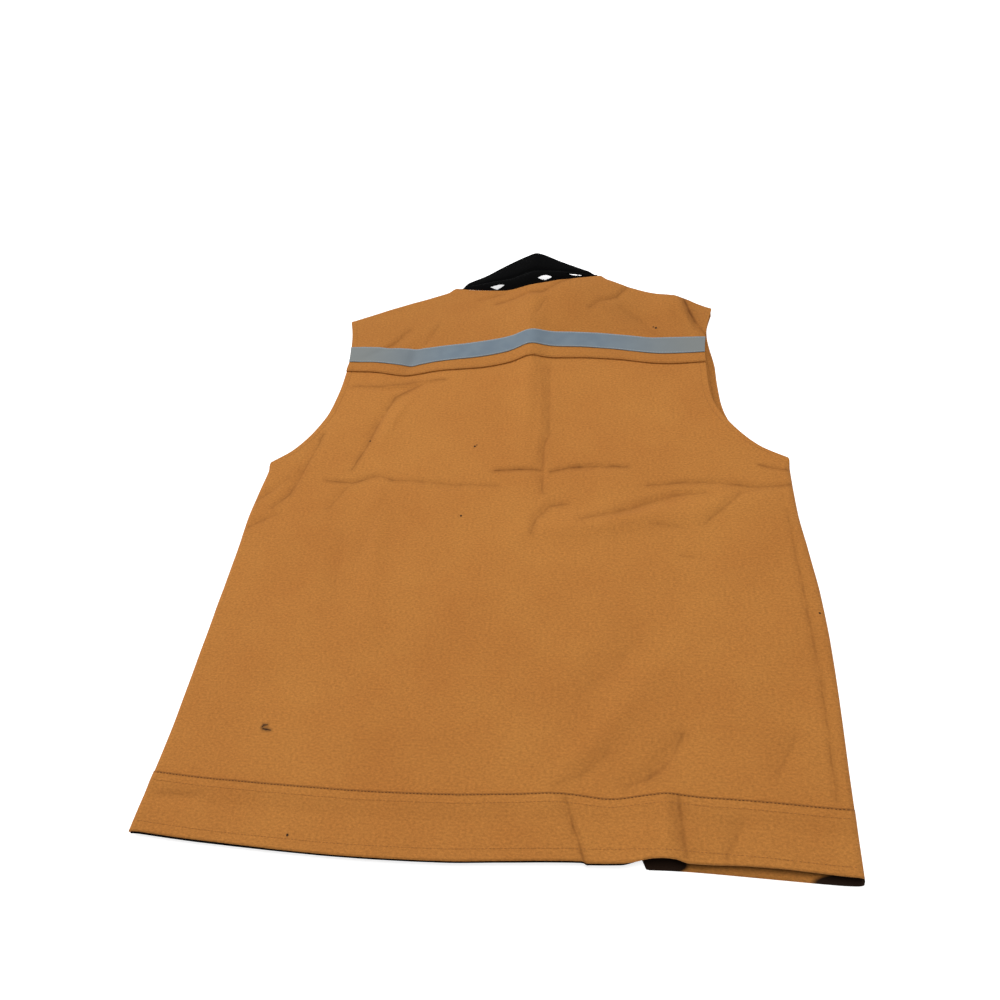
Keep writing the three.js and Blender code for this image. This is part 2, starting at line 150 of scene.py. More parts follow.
# The armhole from the armpit to the shoulder tip.
armhole_curve = table(
    "up scoop inset",
    (0, 1, 0.94),
    (0.04, 0.78, 0.94),
    (0.07, 0.64, 0.94),
    (0.13, 0.45, 0.94),
    (0.2, 0.29, 0.94),
    (0.3, 0.13, 0.94),
    (0.4, 0.05, 0.94),
    (0.55, 0, 0.94),
    (0.7, 0, 0.94),
    (0.85, 0, 0.962),
    (1, 0, 1),
)

# The bow of the hem, as a share of the hem band's height.
hem_wave = table(
    "across drop",
    (-1, -0.04),
    (-0.8, -0.115),
    (-0.4, -0.185),
    (-0.07, -0.16),
    (0.09, -0.1),
    (0.25, -0.04),
    (0.45, 0.02),
    (0.73, 0.04),
    (1, -0.02),
)

# Small dips of the line where the hem band meets the back, in millimetres on the plan.
band_dips = table("x wide shift", (112, 22, -3.6), (158, 16, 1.8), (62, 20, 0.8))

# The bow of the yoke seam and the tape, as a share of the tape's width.
seam_wave = table(
    "across rise",
    (-1, 0),
    (-0.8, -0.14),
    (-0.62, -0.36),
    (-0.42, -0.16),
    (-0.2, 0),
    (0.05, 0.38),
    (0.22, 0.38),
    (0.5, 0.2),
    (0.72, -0.15),
    (1, -0.08),
)

# How far the lower edges of the hem band and of the right front's hem are drawn up, in
# millimetres, at places in millimetres across.
hem_raise = table(
    "x band front",
    (-296, 0, 0),
    (-200, 0.5, 0),
    (-150, 0, 0),
    (130, 0, 0),
    (146, 2.2, 0),
    (162, 2.2, 0),
    (172, 0, 0),
    (217, 1.4, -0.6),
    (255, 2.1, 0),
    (296, 1.7, 1.2),
)

# Swells and dents of the back: shares of half the chest, the neck point's height and the
# lay height, and a turn in degrees.
swells = table(
    "x y wide long turn lift",
    (0.16, 0.93, 0.3, 0.115, 0, 1.65),
    (0.05, 0.79, 0.06, 0.16, 3, 0.75),
    (0.37, 0.985, 0.09, 0.04, 0, 0.32),
    (0.19, 0.975, 0.12, 0.045, 0, 0.5),
    (-0.08, 0.975, 0.07, 0.04, 0, -0.2),
    (0.66, 0.935, 0.085, 0.045, 0, 0.75),
    (-0.47, 0.8, 0.08, 0.06, -25, -0.3),
    (0.52, 0, 0.1, 0.08, 0, 0.45),
    (0, 0.4, 0.7, 0.3, 0, 0.25),
    (0.62, 0.47, 0.3, 0.022, 12, 0.28),
    (0.28, 0.45, 0.26, 0.02, 12, 0.25),
    (0.36, 0.14, 0.045, 0.12, -38, 0.25),
    (-0.46, 0.42, 0.045, 0.16, 5, 0.22),
)

# The collar's outer edge.
leaf_edge = table(
    "across reach lift",
    (-1, 0.02, 1),
    (-0.8, 0.3, 1.1),
    (-0.6, 0.54, 1.25),
    (-0.4, 0.76, 1.6),
    (-0.2, 0.895, 2.1),
    (0, 0.975, 2.7),
    (0.12, 1, 3),
    (0.25, 0.9, 3),
    (0.45, 0.66, 2.8),
    (0.65, 0.44, 2.5),
    (0.85, 0.2, 2.3),
    (1, 0.02, 2.2),
)

# The collar stand's section, from the neckline outwards.
stand_section = table("out rise", (0, 0), (0.28, 0.66), (0.62, 1), (1, 0.72))

# The slits: a share of half the neck, then millimetres.
slits = table(
    "across setback half_long above below",
    (-0.4, 5.2, 10.5, 1, 4),
    (0.265, 4.6, 9.2, 3, 2.6),
    (0.66, 4.4, 12, 2.6, 1.7),
)

# Creases pressed into the cloth, in millimetres on the plan. lift is the height of the
# ridge, or of the valley below zero, near and far how far it spreads to the left and to
# the right of its way, and dark how much painted shade darkens the cloth along it.
creases = (
    # name, way, lift, near, far, dark
    ("shoulder fold", ((198, 652), (205, 632), (215, 606), (224, 590)), -2.4, 3.4, 7, 0.75),
    ("shoulder roll", ((189, 650), (198, 628), (210, 604)), 2.2, 14, 5, 0.0),
    ("neck crease long", ((-37, 655), (5, 665), (24, 663), (46, 681), (74, 697)), -1.5, 3, 6, 0.4),
    ("neck crease left", ((-62, 668), (-27, 676)), -1.0, 3, 5, 0.3),
    ("neck crease down", ((30, 652), (12, 608)), -1.1, 3, 6, 0.25),
    ("neck crease right", ((84, 634), (95, 647), (117, 657), (131, 679)), -1.5, 3, 6, 0.35),
    ("yoke shade right", ((118, 640), (145, 619), (168, 588)), -1.6, 9, 14, 0.15),
    ("yoke left long", ((-203, 566), (-167, 590), (-148, 618)), -1.3, 4, 7, 0.3),
    ("yoke left short", ((-122, 594), (-110, 624)), -1.0, 4, 6, 0.2),
    ("tape dip", ((-131, 598), (-135, 570), (-139, 548)), -2.2, 8, 8, 0.0),
    ("below the yoke", ((-203, 519), (-164, 519), (-123, 525), (-88, 527)), -1.3, 3, 5, 0.35),
    (
        "long diagonal",
        ((-118, 520), (-146, 500), (-157, 465), (-166, 425), (-177, 388)), -2.0, 3, 9, 0.45,
    ),
    ("long diagonal ridge", ((-126, 500), (-138, 465), (-148, 425)), 1.5, 4, 9, 0.0),
    ("armpit left long", ((-222, 442), (-234, 389), (-242, 355), (-258, 337)), -1.6, 3, 7, 0.4),
    ("armpit left mid", ((-250, 377), (-266, 358), (-280, 344)), -1.4, 3, 6, 0.3),
    ("armpit left low", ((-247, 329), (-277, 311)), -1.3, 3, 6, 0.3),
    ("press left", ((-205, 374), (-173, 370), (-148, 379), (-125, 372)), -1.2, 2.6, 4, 0.45),
    ("press middle", ((-125, 372), (-97, 371), (-60, 366), (-8, 364)), -0.8, 2.6, 4, 0.3),
    ("press tail", ((-176, 366), (-186, 346), (-192, 336)), -1.0, 3, 5, 0.25),
    ("centre top", ((37, 536), (40, 488), (42, 436)), -2.2, 5, 14, 0.22),
    ("centre low", ((43, 436), (38, 420), (38, 385), (40, 352)), -2.2, 3, 7, 0.34),
    ("centre ridge", ((30, 530), (32, 470), (31, 400)), 1.5, 18, 4, 0.0),
    ("cross left", ((-14, 384), (12, 386), (36, 385)), -1.7, 2.6, 4, 0.7),
    ("cross right", ((46, 382), (68, 388), (96, 390), (128, 389)), -1.7, 2.6, 4, 0.6),
    ("press right", ((148, 364), (190, 369), (222, 368), (259, 362), (291, 365)), -1.5, 3, 5, 0.4),
    ("long right", ((82, 320), (112, 327), (152, 343), (176, 352), (206, 355)), -2.4, 4, 9, 0.35),
    ("long right ridge", ((96, 313), (128, 321), (164, 336)), 1.3, 5, 9, 0.0),
    ("hook", ((67, 340), (48, 337), (35, 321), (31, 302)), -1.4, 3, 5, 0.4),
    ("armpit right", ((262, 360), (241, 353), (222, 333), (202, 315)), -1.5, 3, 6, 0.3),
    ("armpit hem right", ((264, 391), (277, 386), (291, 384)), -0.7, 2, 3, 0.5),
    ("short mark", ((152, 314), (181, 310)), -0.9, 3, 4, 0.2),
    ("tiny mark", ((178, 279), (197, 276)), -0.8, 3, 4, 0.2),
    ("broad fold right", ((138, 190), (110, 158), (82, 130)), -1.8, 13, 20, 0.08),
    (
        "hem fold right",
        ((172, 102), (164, 86), (154, 73), (144, 65), (124, 57)), -2.8, 4.5, 11, 0.4,
    ),
    ("hem fold middle", ((110, 84), (88, 65), (66, 55)), -1.7, 6, 12, 0.16),
    ("side fold right", ((262, 104), (252, 84), (243, 70)), -1.7, 6, 12, 0.18),
    ("soft left", ((-131, 352), (-140, 310), (-147, 272)), -1.3, 7, 10, 0.08),
    ("soft far left", ((-170, 300), (-166, 250), (-160, 212)), -1.2, 9, 12, 0.06),
    ("band fold", ((166, 50), (168, 29), (170, 6)), -2.8, 4.5, 15, 0.4),
    ("band ridge", ((155, 56), (157, 30), (158, 2)), 2.0, 13, 5, 0.0),
    ("band fold right", ((213, 34), (209, 22), (200, 8)), -1.8, 5, 12, 0.22),
    ("band crease middle", ((76, 44), (82, 26), (93, -2)), -1.5, 2.8, 6, 0.5),
    ("band crease left", ((-283, 30), (-236, 34)), -1.1, 3, 5, 0.12),
    ("side seam right", ((287, 56), (290, 150), (287, 250), (283, 330)), -0.5, 2.4, 3, 0.3),
)


# The vest's surface
def mix(a, b, t):
    return a + (b - a) * t


def ease(t):
    t = np.clip(t, 0, 1)
    return t * t * (3 - 2 * t)


def read(rows, key, column, at):
    """A column of a table between its rows, on a smooth curve through them."""
    keys, values = rows[key], rows[column]
    last = len(keys) - 1
    hi = np.clip(np.searchsorted(keys, at), 1, last)
    lo = hi - 1

    def slope(i):
        a, b = np.maximum(i - 1, 0), np.minimum(i + 1, last)
        return (values[b] - values[a]) / (keys[b] - keys[a])

    span = keys[hi] - keys[lo]
    t = np.clip((at - keys[lo]) / span, 0, 1)
    t2, t3 = t * t, t * t * t
    return (
        values[lo] * (2 * t3 - 3 * t2 + 1)
        + slope(lo) * span * (t3 - 2 * t2 + t)
        + values[hi] * (3 * t2 - 2 * t3)
        + slope(hi) * span * (t3 - t2)
    )


def half_width(y, side):
    """Half the vest's width at y on one side, -1 for left and 1 for right."""
    up = np.clip(y / armpit_height, 0, 1)
    left, right = (read(side_wave, "up", column, up) for column in ("left", "right"))
    wave = np.where(side < 0, left, right)
    body = mix(hem_width / 2, half_chest, up) + half_chest * wave
    rise = np.clip((y - armpit_height) / shoulder_rise, 0, 1)
    scoop = read(armhole_curve, "up", "scoop", rise)
    inset = read(armhole_curve, "up", "inset", rise)
    right_more = np.where(side > 0, right_shoulder_more * ease((rise - 0.35) / 0.25), 0)
    upper = mix(half_shoulder * inset, body, scoop) + right_more
    return np.where(y <= armpit_height, body, upper)


def top_edge(x):
    """Height of the back's top edge: the neckline, then the shoulders."""
    out = np.abs(x)
    neck = neck_point_height - back_neck_drop * (1 - (out / half_neck) ** 2)
    along = (out - half_neck) / (half_shoulder - half_neck)
    return np.where(out < half_neck, neck, mix(neck_point_height, shoulder_height, along))


def bow(x, y):
    """How far the hem, the yoke seam and what is near them bow in y."""
    hem_fade = 1 - ease(y / (armpit_height / 2))
    hem_bow = hem_band_height * read(hem_wave, "across", "drop", x / half_chest)
    seam_fade = 1 - ease(np.abs(y - yoke_seam_height) / (shoulder_height - yoke_seam_height))
    seam_bow = tape_width * read(seam_wave, "across", "rise", x / half_shoulder)
    dips = np.zeros_like(x)
    for middle, wide, shift in zip(*(band_dips[c] * MM for c in ("x", "wide", "shift"))):
        dips += shift * np.exp(-(((x - middle) / wide) ** 2))
    near_band = np.exp(-(((y - hem_band_height) / (30 * MM)) ** 2))
    below_tape = ease((tape_low - y) / tape_above_seam)
    sag = seam_sag * np.exp(-(((x - seam_sag_x) / seam_sag_wide) ** 2)) * below_tape
    return hem_bow * hem_fade + (seam_bow - sag) * seam_fade + dips * near_band


def swell_height(x, y):
    lift = np.ones_like(x)
    for i in range(len(swells["x"])):
        dx = x - swells["x"][i] * half_chest
        dy = y - swells["y"][i] * neck_point_height
        turn = math.radians(swells["turn"][i])
        across = dx * math.cos(turn) + dy * math.sin(turn)
        along = dy * math.cos(turn) - dx * math.sin(turn)
        wide = across / (swells["wide"][i] * half_chest)
        long = along / (swells["long"][i] * neck_point_height)
        lift += swells["lift"][i] * np.exp(-(wide * wide + long * long))
    return lay_height * lift


def crease_at(way, x, y):
    """Distance to a crease's way, its sign (right of the way is positive), and how far
    along it the nearest point is, from 0 to 1."""
    way = np.array(way) * MM
    steps = np.hypot(*(way[1:] - way[:-1]).T)
    total = steps.sum()
    best = np.full(x.shape, np.inf)
    signed = np.zeros_like(x)
    along = np.zeros_like(x)
    run = 0.0
    for (ax, ay), (bx, by), step in zip(way[:-1], way[1:], steps):
        ux, uy = (bx - ax) / step, (by - ay) / step
        raw = (x - ax) * ux + (y - ay) * uy
        s = np.clip(raw, 0, step)
        dx, dy = x - ax - s * ux, y - ay - s * uy
        distance = np.hypot(dx, dy)
        near = distance < best
        best = np.where(near, distance, best)
        side = np.sign(dx * uy - dy * ux)
        signed = np.where(near, side * distance, signed)
        along = np.where(near, (run + s) / total, along)
        run += step
    return signed, along


def ripple(x, y):
    """Low, soft unevenness of stiff duck, as the sum of a few slanting waves."""
    waves = table(
        "long turn start high",
        (0.173, 20, 0.4, 0.35),
        (0.121, 105, 1.9, 0.3),
        (0.089, 62, 3.1, 0.22),
        (0.067, 150, 0.8, 0.17),
        (0.047, 84, 2.2, 0.13),
        (0.031, 35, 5.0, 0.07),
    )
    total = np.zeros_like(x)
    for long, turn, start, high in zip(*(waves[c] for c in ("long", "turn", "start", "high"))):
        across = x * math.cos(math.radians(turn)) + y * math.sin(math.radians(turn))
        bend = 0.35 * np.sin(2 * math.pi * (y - x) / 0.31 + start)
        total += high * MM * np.sin(2 * math.pi * across / long + start + bend)
    return total


def crease_height(x, y):
    """How far the creases raise or lower the cloth at plan places."""
    lift = np.zeros_like(x)
    for _, way, high, near, far, _ in creases:
        signed, along = crease_at(way, x, y)
        spread = np.where(signed < 0, near, far) * MM
        taper = np.sin(math.pi * np.clip(along, 0.02, 0.98)) ** 0.5
        lift += high * MM * taper * np.exp(-((signed / spread) ** 2))
    return lift


def back_height(x, y):
    """Height of the back's outer face over the floor."""
    return swell_height(x, y) + crease_height(x, y) + ripple(x, y)


def side_closed(y):
    return 1 - ease((y - armpit_height + armpit_ease) / armpit_ease)


def top_closed(x):
    return ease((np.abs(x) - half_neck) / (2 * fold_reach))


# A sheet's columns run over the flat part and then round each side fold.
flat_part = 0.968


def column_parts(across):
    """Share of the flat half width, side, and angle round the fold, for -1 to 1."""
    side = np.sign(across)
    share = np.clip(across / flat_part, -1, 1)
    roll = np.clip((np.abs(across) - flat_part) / (1 - flat_part), 0, 1) * math.pi / 2
    return share, side, roll


def column_x(across, y):
    share, side, roll = column_parts(across)
    start = half_width(y, side) - fold_reach
    return share * start + side * fold_reach * np.sin(roll)


def back_body(across, y, raised=0.0):
    """The back from the hem to the top of the tape. raised lifts it over a lap."""
    x = column_x(across, y)
    _, side, roll = column_parts(across)
    closed = roll * side_closed(y)
    height = back_height(x, y)
    z = mix(height, height / 2 + gap / 2, 1 - np.cos(closed))
    return (
        x + side * raised * np.sin(closed),
        y + bow(x, y),
        z + raised * np.cos(closed),
    )


def back_top(across, up, turn):
    """The yoke from the top of the tape to the shoulder and neckline."""
    side_y = mix(tape_high, shoulder_row, up)
    x = column_x(across, side_y)
    y = mix(tape_high, top_edge(x) - fold_reach, up) + fold_reach * np.sin(turn)
    height = back_height(x, y)
    closed = turn * top_closed(x)
    z = mix(height, height / 2 + gap / 2, 1 - np.cos(closed))
    return x, y + bow(x, y), z


def front_start(y, side):
    show = np.where(side > 0, right_armhole_show, -left_armhole_tuck)
    rise = (y - armpit_height) / shoulder_rise
    extra = show * ease(rise / 0.45) * (1 - ease((rise - 0.58) / 0.3))
    return half_width(y, side) - fold_reach + extra


def front_parts(across):
    share = np.clip(across / flat_part, 0, 1)
    roll = np.clip((across - flat_part) / (1 - flat_part), 0, 1) * math.pi / 2
    return share, roll


def front_lower(across, y, side):
    """A front below the armpit, flat on the floor and rolled up at the side."""
    share, roll = front_parts(across)
    closed = roll * side_closed(y)
    x = side * (mix(inner_edge, front_start(y, side), share) + fold_reach * np.sin(roll))
    seam = swell_height(x, y) / 2 - gap / 2
    return x, y + bow(x, y), seam * (1 - np.cos(closed))


def front_top(share, side):
    """The front's top edge, before its fold: the neckline, then the shoulder."""
    turn = np.clip(share / neck_share, 0, 1) * math.pi / 2
    reach_x = half_width(np.full_like(share, shoulder_row), side) - fold_reach
    neck_x = mix(inner_edge, neck_share * reach_x, np.sin(turn))
    neck_y = neck_point_height - fold_reach - front_neck_drop * np.cos(turn)
    shoulder_x = share * reach_x
    on_neck = share < neck_share
    x = np.where(on_neck, neck_x, shoulder_x)
    y = np.where(on_neck, neck_y, top_edge(shoulder_x) - fold_reach)
    return side * x, y


def front_upper(across, up, turn, side):
    """A front above the armpit."""
    share, roll = front_parts(across)
    armpit = np.full_like(share, armpit_height)
    base_x = side * mix(inner_edge, front_start(armpit, side), share)
    top_x, top_y = front_top(share, side)
    edge = side * front_start(mix(armpit_height, shoulder_row, up), side)
    chord = mix(
        side * front_start(armpit, side),
        front_top(np.ones_like(share), side)[0],
        up,
    )
    x = mix(base_x, top_x, up) + share**3 * (edge - chord) + side * fold_reach * np.sin(roll)
    on_shoulder = share >= neck_share
    last = np.where(on_shoulder, top_edge(x) - fold_reach, top_y)
    y = mix(armpit_height, mix(top_y, last, ease(up)), up) + fold_reach * np.sin(turn)
    seam = swell_height(x, y) / 2 - gap / 2
    closed = np.where(on_shoulder, turn * top_closed(x), 0)
    return x, y, seam * (1 - np.cos(closed))


# Making pieces
def grid_sheet(columns, rows, surface):
    """A bmesh grid whose corners run from (0, 0) to (1, 1), moved onto a surface of the
    plan. Its UV map holds the cloth's own flat place, in metres, and its row attribute runs
    from 0 on the first row to 1 on the last."""
    bm = bmesh.new()
    bm.loops.layers.uv.new("cloth")
    bmesh.ops.create_grid(bm, x_segments=columns, y_segments=rows, size=0.5, calc_uvs=False)
    bm.verts.ensure_lookup_table()
    flat = np.array([v.co[:2] for v in bm.verts]) + 0.5
    place_sheet(bm, flat[:, 0], flat[:, 1], surface)
    return bm


def place_sheet(bm, u, v, surface):
    x, y, z = surface(u, v)
    row = bm.verts.layers.float.new("row")
    uv = bm.loops.layers.uv["cloth"]
    for i, vert in enumerate(bm.verts):
        vert.co = (x[i] + middle_x, y[i] + hem_y, z[i])
        vert[row] = v[i]
    for face in bm.faces:
        for loop in face.loops:
            loop[uv].uv = (loop.vert.co.x, loop.vert.co.y)


def as_piece(name, bm, material, slot, *nodes):
    """Turns a bmesh into a finished piece that rides on the vest."""
    for face in bm.faces:
        face.smooth = True
    mesh = bpy.data.meshes.new(name)
    bm.to_mesh(mesh)
    bm.free()
    mesh.materials.append(material)
    piece = bpy.data.objects.new(name, mesh)
    bpy.context.collection.objects.link(piece)
    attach(piece, "root")
    if nodes:
        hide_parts(*nodes)
    return piece


def thicken(piece, wall):
    """Gives a sheet its wall behind the outer face."""
    solid = piece.modifiers.new("wall", "SOLIDIFY")
    solid.thickness = wall
    solid.offset = -1
    solid.use_rim = True


def cloth_piece(name, bm, material, slot, flat, rests_on, *nodes):
    """A cloth sheet with its wall. The flat size that it was cut to is not used."""
    area = sum(face.calc_area() for face in bm.faces)
    piece = as_piece(name, bm, material, slot, *nodes)
    thicken(piece, walls[slot])


# The cloth pieces
def back_surface(u, v):
    y = mix(hem_band_height - seam_lap, yoke_seam_height + seam_lap, v)
    across = 2 * u - 1
    x, lifted_y, z = back_body(across, y)
    under_band = ease((hem_band_height + 0.5 * MM - y) / (2 * MM))
    return x - side_tuck(across) * under_band, lifted_y, z


def hem_surface(u, v):
    y = hem_band_height * v
    rise_start = hem_band_height - seam_lap - lap_ease
    raised = lap_lift * np.clip((y - rise_start) / lap_ease, 0, 1)
    across = 2 * u - 1
    x, y, z = back_body(across, y, raised)
    lower = hem_lift(x) - hem_notch(x)
    return x - side_tuck(across) * raised / lap_lift, y + lower * (1 - v) ** 3, z


def side_tuck(across):
    """How far the hem band's rolled side is drawn in, and the back's side under it."""
    _, side, roll = column_parts(across)
    return side * lap_lift * np.sin(roll)


def hem_lift(x, column="band"):
    """How far the lower edge of the hem band, or of the front's hem, is drawn up."""
    return read(hem_raise, "x", column, x / MM) * MM


def hem_notch(x):
    """How far the hem's lower edge drops beside the band's middle crease."""
    starts = ease((x - 91 * MM) / (3 * MM))
    ends = ease((x - 120 * MM) / (20 * MM))
    return notch_drop * starts * (1 - ends)


def facing_surface(u, v):
    across = (2 * u - 1) * facing_share
    x, y, z = back_body(across, mix(-facing_show, facing_height, v), -lap_lift)
    hidden = facing_more_hidden * ease((x / half_chest - 0.42) / 0.06)
    thin = facing_less_left * ease((x / half_chest + 0.7) / 0.2)
    lower = hidden + thin + hem_lift(x) - hem_notch(x)
    return x, y + (1 - v) * lower, z


yoke_tape_row = 0.33
yoke_fold_row = 0.93


def yoke_surface(u, v):
    across = 2 * u - 1
    y = mix(yoke_seam_height, tape_high, np.clip(v / yoke_tape_row, 0, 1))
    fall = tape_low - yoke_seam_height - seam_lap
    raised = lap_lift * np.clip((tape_low - y) / fall, 0, 1)
    lower = back_body(across, y, raised)
    up = np.clip((v - yoke_tape_row) / (yoke_fold_row - yoke_tape_row), 0, 1)
    turn = np.clip((v - yoke_fold_row) / (1 - yoke_fold_row), 0, 1) * math.pi / 2
    upper = back_top(across, up, turn)
    return [np.where(v <= yoke_tape_row, a, b) for a, b in zip(lower, upper)]


def tape_surface(u, v):
    x, y, z = back_body(2 * u - 1, mix(tape_low, tape_high, v))
    return x, y, z + gap + tape_wall


front_armpit_row = 0.588
front_fold_row = 0.985


def front_surface(side):
    def surface(u, v):
        across = 1 - u if side > 0 else u
        y = mix(hem_band_height, armpit_height, np.clip(v / front_armpit_row, 0, 1))
        lower = front_lower(across, y, side)
        up = np.clip((v - front_armpit_row) / (front_fold_row - front_armpit_row), 0, 1)
        turn = np.clip((v - front_fold_row) / (1 - front_fold_row), 0, 1) * math.pi / 2
        upper = front_upper(across, up, turn, side)
        return [np.where(v <= front_armpit_row, a, b) for a, b in zip(lower, upper)]

    return surface


def front_hem_surface(side):
    def surface(u, v):
        across = 1 - u if side > 0 else u
        x, y, z = front_lower(across, (hem_band_height - gap) * v, side)
        _, roll = front_parts(across)
        out = ease((x / half_chest - 0.472) / 0.02)
        shown = mix(front_hem_tuck, -front_hem_show, out) + hem_lift(x, "front")
        return x, y + (1 - v) * shown * np.cos(roll) ** 0.25, z

    return surface


def neck_line(u):
    """The yoke's neckline edge, from the left neck point to the right one."""
    share = neck_share * collar_span * mix(-1, 1, u)
    side = np.sign(share)
    x = share * (half_width(np.full_like(share, shoulder_row), side) - fold_reach)
    y = top_edge(x)
    return x, y, back_height(x, y)


def leaf_at(x, column):
    return read(leaf_edge, "across", column, x / half_neck)


def collar_share(x):
    return np.maximum(leaf_at(x, "reach"), collar_least / stand_reach)


def near_end(u):
    """0 along the collar and 1 at its two ends."""
    return ease((np.abs(2 * u - 1) - 1 + collar_end_share) / collar_end_share)


def stand_surface(u, v):
    x, y, z = neck_line(u)
    size = collar_share(x)
    rise = read(stand_section, "out", "rise", v) * stand_rise * size
    return x, y + gap + v * stand_reach * size, z + rise - end_drop * near_end(u)


def leaf_surface(u, v):
    x, neck_y, _ = neck_line(u)
    size = collar_share(x)
    _, root_y, root_z = stand_surface(u, np.ones_like(u))
    edge_to_edge = ease((x - leaf_lies_on_edge) / (20 * MM))
    root_y = root_y - mix(leaf_tuck * np.maximum(size, 0.6), -gap, edge_to_edge)
    root_z = root_z - (collar_wall + 0.1 * MM) * (1 - edge_to_edge)
    reach = np.maximum(collar_reach * leaf_at(x, "reach"), stand_reach * size + collar_least)
    at_end = near_end(u)
    edge_y = neck_y + gap + mix(reach, stand_reach * size + end_leaf_reach, at_end)
    edge_z = mix(lay_height * leaf_at(x, "lift"), root_z, at_end)
    crown = leaf_crown * size * np.sin(math.pi * v)
    dip = leaf_dip * size * np.exp(-(((v - 0.14) / 0.11) ** 2))
    wave = leaf_wave * size * np.sin(x / (14 * MM) + 2.5 * v) * v
    return x, mix(root_y, edge_y, v), mix(root_z, edge_z, v) + crown - dip + wave


def collar_end_surface(side):
    def surface(u, v):
        share = neck_share * (1 - u if side > 0 else u) * 0.999
        top_x, top_y = front_top(share, side)
        turn = share / neck_share * math.pi / 2
        reach = gap + v * mix(collar_least, collar_front_reach, np.cos(turn))
        x = top_x - side * reach * np.sin(turn)
        y = top_y + fold_reach + reach * np.cos(turn)
        stands_up = ease((share / neck_share - 0.7) / 0.28)
        under_yoke = swell_height(x, y) - cloth_wall - collar_wall - 2 * gap
        return x, y, v * stands_up * under_yoke

    return surface


def cut_slits(bm):
    """Opens the three slits along the neckline, pointed at both ends."""
    row = bm.verts.layers.float["row"]
    for across, setback, half_long, above, below in zip(*slits.values()):
        x = across * half_neck
        y = float(top_edge(np.array(x))) + setback * MM
        centre = Vector((x + middle_x, y + hem_y, 0))

        def reach(co):
            along = abs(co.x - centre.x) / (half_long * MM)
            out = abs(co.y - centre.y) / ((above if co.y > centre.y else below) * MM)
            return (along**1.3 + out**1.3) ** (1 / 1.3)

        inside = [f for f in bm.faces if reach(f.calc_center_median()) < 1]
        bmesh.ops.delete(bm, geom=inside, context="FACES")
        for vert in bm.verts:
            far = reach(vert.co)
            if vert.is_boundary and 0.01 < vert[row] < 0.99 and 0.4 < far < 1.7:
                vert.co.x = centre.x + (vert.co.x - centre.x) / far
                vert.co.y = centre.y + (vert.co.y - centre.y) / far


# Threads
row_steps = 400
thread_lift = 0.1 * MM
armhole_inset = 7 * MM
front_row_low = armpit_height + 50 * MM
front_row_high = armpit_height + 190 * MM

# Stitches: pitch, length and thickness.
seam_stitch = (3 * MM, 2.3 * MM, 0.6 * MM)
hem_stitch = (3 * MM, 2 * MM, 0.5 * MM)
yoke_stitch = (2.8 * MM, 2.1 * MM, 0.45 * MM)
front_stitch = (2.8 * MM, 2.1 * MM, 0.5 * MM)
tape_stitch = (3.4 * MM, 1.5 * MM, 0.5 * MM)


def join_into(bm, other):
    """Adds another bmesh's faces to bm."""
    mesh = bpy.data.meshes.new("joined")
    other.to_mesh(mesh)
    other.free()
    bm.from_mesh(mesh)
    bpy.data.meshes.remove(mesh)


def thread_row(bm, path, stitch):
    """Stitches along a path of points, each a small rounded thread."""
    pitch, long, thick = stitch
    points = np.array(path).T
    steps = np.linalg.norm(points[1:] - points[:-1], axis=1)
    run = np.concatenate([[0], np.cumsum(steps)])
    middles = np.arange(pitch / 2, run[-1], pitch)
    places = np.array([np.interp(middles, run, points[:, i]) for i in range(3)]).T
    ahead = np.array([np.interp(middles + pitch / 4, run, points[:, i]) for i in range(3)]).T
    size = Matrix.Diagonal((long, thick, thick, 1))
    batch = 40
    for first in range(0, len(places), batch):
        few = bmesh.new()
        for place, front in zip(places[first : first + batch], ahead[first : first + batch]):
            turn = Vector(front - place).to_track_quat("X", "Z").to_matrix().to_4x4()
            where = Matrix.Translation(Vector(place) + Vector((middle_x, hem_y, 0)))
            bmesh.ops.create_uvsphere(
                few, u_segments=6, v_segments=4, radius=0.5, matrix=where @ turn @ size
            )
        join_into(bm, few)


def lifted(path, up=thread_lift):
    x, y, z = path
    return x, y, z + up


def row_across(y, reach, raised):
    """A row across the back at one height, out to a share of its half width."""
    return back_body(np.linspace(-reach, reach, row_steps), np.full(row_steps, y), raised)


def armhole_row(side):
    """A row that follows the armhole, from the armpit to the yoke's top."""
    y = np.linspace(armpit_height + 6 * MM, shoulder_row - 4 * MM, row_steps)
    x = side * (half_width(y, np.full(row_steps, side)) - armhole_inset)
    on_lap = (y > yoke_seam_height) & (y < yoke_seam_height + seam_lap)
    return x, y + bow(x, y), back_height(x, y) + np.where(on_lap, lap_lift, 0) + thread_lift


def front_armhole_row(inset):
    """A row on the inside of the right front, where it shows past the back."""
    y = np.linspace(front_row_low, front_row_high, row_steps)
    x = front_start(y, 1) + fold_reach - inset
    return x, y, np.full(row_steps, cloth_wall + thread_lift)


# Shader groups
def put(tree, socket, value):
    """Joins a socket to another node's output, or sets it to a constant."""
    if isinstance(value, bpy.types.NodeSocket):
        tree.links.new(value, socket)
    else:
        socket.default_value = value


def node(tree, kind, **settings):
    """A shader node. A setting whose name is an input's sets or joins that input."""
    made = tree.nodes.new("ShaderNode" + kind)
    for name, value in settings.items():
        if hasattr(made, name):
            setattr(made, name, value)
        else:
            put(tree, made.inputs[name.replace("_", " ")], value)
    return made


def maths(tree, operation, *values):
    made = node(tree, "Math", operation=operation)
    for socket, value in zip(made.inputs, values):
        put(tree, socket, value)
    return made.outputs[0]


def vector_maths(tree, operation, a, b):
    made = node(tree, "VectorMath", operation=operation)
    put(tree, made.inputs[0], a)
    put(tree, made.inputs["Scale"] if operation == "SCALE" else made.inputs[1], b)
    return made.outputs["Value" if operation in ("DISTANCE", "DOT_PRODUCT") else "Vector"]


